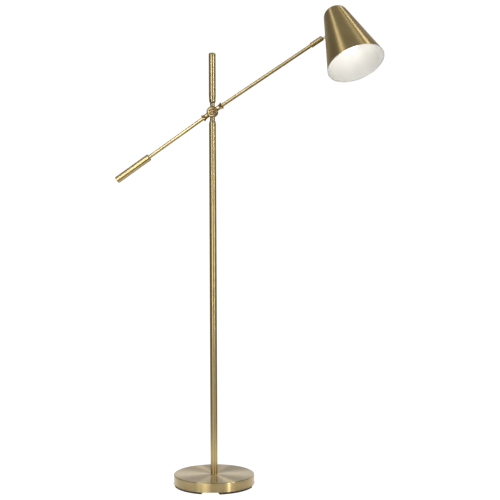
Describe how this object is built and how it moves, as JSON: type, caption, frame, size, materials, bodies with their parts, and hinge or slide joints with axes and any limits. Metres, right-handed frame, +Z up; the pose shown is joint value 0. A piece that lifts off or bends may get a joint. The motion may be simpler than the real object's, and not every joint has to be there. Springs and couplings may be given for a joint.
{
  "type": "pharmacy floor lamp",
  "caption": "Floor lamp with a round weighted base, a straight pole, and a tilting boom that carries a conical swivelling shade and a counterweight.",
  "frame": {"origin": "on the floor under the centre of the pole", "axes": "+Z up along the pole; the boom lies over the XZ plane with its shade towards +X; the front of the knuckle, with its cap ring and screw, faces -Y"},
  "size_m": [0.9237, 0.3041, 1.6363],
  "materials": {
    "plated_steel": "steel tube and sheet, brushed and plated antique brass, lacquered",
    "solid_brass": "turned and cast brass, antique finish",
    "shade_brass": "spun aluminium, brushed round and plated antique brass outside, white enamel inside",
    "cast_iron": "rough casting",
    "zinc_steel": "zinc plated",
    "black_paint": "matt black",
    "rubber_pad": "matt black",
    "black_plastic": "moulded",
    "nylon": "natural",
    "lead_insulation": "clear gold PVC",
    "porcelain": "glazed",
    "contact_brass": "bright stamped",
    "opal_glass": "opal white",
    "cap_metal": "plain"
  },
  "bodies": {
    "base": {"base_cover": "plated_steel", "base_weight": "cast_iron", "base_pan": "black_paint", "foot_pad_right": "rubber_pad", "foot_pad_rear": "rubber_pad", "foot_pad_left": "rubber_pad", "foot_pad_front": "rubber_pad", "cord_bushing": "black_plastic", "base_washer": "zinc_steel", "base_nut": "zinc_steel", "base_nipple": "zinc_steel", "pole_foot_bush": "zinc_steel", "pole_tube_lower": "plated_steel", "pole_tube_middle": "plated_steel", "pole_tube_upper": "plated_steel", "pole_coupler_lower": "zinc_steel", "pole_coupler_upper": "zinc_steel", "pole_neck": "solid_brass", "lead_pole": "lead_insulation"},
    "mast": {"mast_hub": "solid_brass", "swivel_washer": "nylon", "swivel_spring_washer": "zinc_steel", "swivel_nut": "zinc_steel", "swivel_stop_pin": "zinc_steel", "friction_ring": "nylon", "pivot_screw": "solid_brass", "pivot_spring_washer": "zinc_steel", "pivot_nut": "solid_brass", "mast_neck": "solid_brass", "mast_tube": "plated_steel", "mast_cap": "solid_brass", "lead_knuckle": "lead_insulation"},
    "boom": {"boom_hub": "solid_brass", "pivot_cap": "solid_brass", "weight_rod": "plated_steel", "counterweight_shell": "plated_steel", "counterweight_core": "zinc_steel", "counterweight_plug": "plated_steel", "boom_tube": "plated_steel", "swivel_collar": "zinc_steel", "lead_boom": "lead_insulation"},
    "shade_swivel": {"swivel_sleeve": "solid_brass", "clevis": "solid_brass", "tilt_screw": "solid_brass", "tilt_nut": "zinc_steel", "tilt_washers": "nylon"},
    "shade": {"shade_stem": "solid_brass", "stem_saddle": "solid_brass", "shade_shell": "shade_brass", "socket_bracket": "zinc_steel", "stem_nut": "zinc_steel", "lampholder_body": "porcelain", "lampholder_shell": "contact_brass", "lampholder_contact": "contact_brass", "lampholder_nut": "zinc_steel", "bulb_glass": "opal_glass", "bulb_cap": "cap_metal", "lead_socket": "lead_insulation"}
  },
  "joints": [
    {"name": "mast_swivel", "type": "hinge", "parent": "base", "child": "mast", "pos_m": [0, 0, 1.2544], "axis": [0, 0, 1], "range_deg": [-160, 160]},
    {"name": "boom_tilt", "type": "hinge", "parent": "mast", "child": "boom", "pos_m": [0, 0, 1.2844], "axis": [0, -1, 0], "range_deg": [-73, 5]},
    {"name": "shade_swivel", "type": "hinge", "parent": "boom", "child": "shade_swivel", "pos_m": [0.36973, 0, 1.52588], "axis": [0.8372, 0, 0.5468], "range_deg": [-121, 179]},
    {"name": "shade_tilt", "type": "hinge", "parent": "shade_swivel", "child": "shade", "pos_m": [0.36973, 0, 1.52588], "axis": [0.2656, 0.8741, -0.4067], "range_deg": [-97, 53]}
  ]
}
